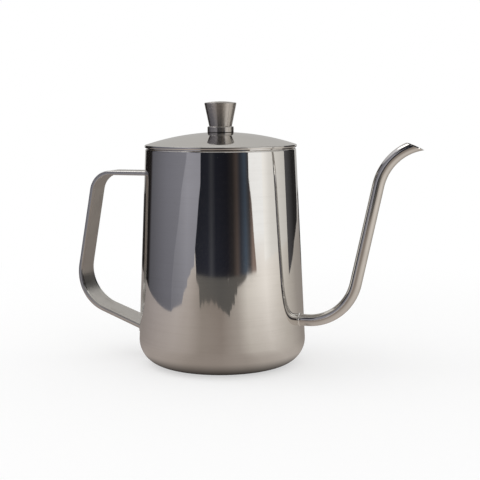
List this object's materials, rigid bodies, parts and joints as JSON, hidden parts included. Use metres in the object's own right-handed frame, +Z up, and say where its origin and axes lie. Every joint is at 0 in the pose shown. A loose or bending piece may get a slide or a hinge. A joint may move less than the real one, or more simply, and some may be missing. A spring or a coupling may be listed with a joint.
{
  "type": "gooseneck kettle",
  "caption": "Small polished steel pour-over kettle: tapered pot, lift-off domed lid with a turned knob, thin gooseneck spout and a flat strap handle.",
  "frame": {"origin": "middle of the flat bottom, on the pot's axis", "axes": "+Z up along the pot's axis, +X towards the spout, -X towards the handle, XZ the plane of symmetry"},
  "size_m": [0.1953, 0.0906, 0.1419],
  "materials": {
    "polished_steel": "mirror-polished stainless steel with faint drawing lines",
    "spout_steel": "polished stainless tube with fine lengthwise lines",
    "satin_steel": "satin stainless bar",
    "lid_steel": "polished stainless sheet with faint turning rings",
    "turned_steel": "turned satin stainless bar",
    "weld_metal": "dressed weld",
    "fastener_steel": "plain stainless fastener"
  },
  "bodies": {
    "kettle": {"body_shell": "polished_steel", "spout_tube": "spout_steel", "spout_weld_bead": "weld_metal", "handle_strap": "satin_steel", "handle_weld_upper": "weld_metal", "handle_weld_lower": "weld_metal"},
    "lid": {"lid_dome": "lid_steel", "lid_collar": "lid_steel", "lid_knob": "turned_steel", "knob_washer": "fastener_steel", "knob_screw": "fastener_steel"}
  },
  "joints": [
    {"name": "lid_lift", "type": "slide", "parent": "kettle", "child": "lid", "axis": [0, 0, 1], "range_m": [0, 0.07]}
  ]
}
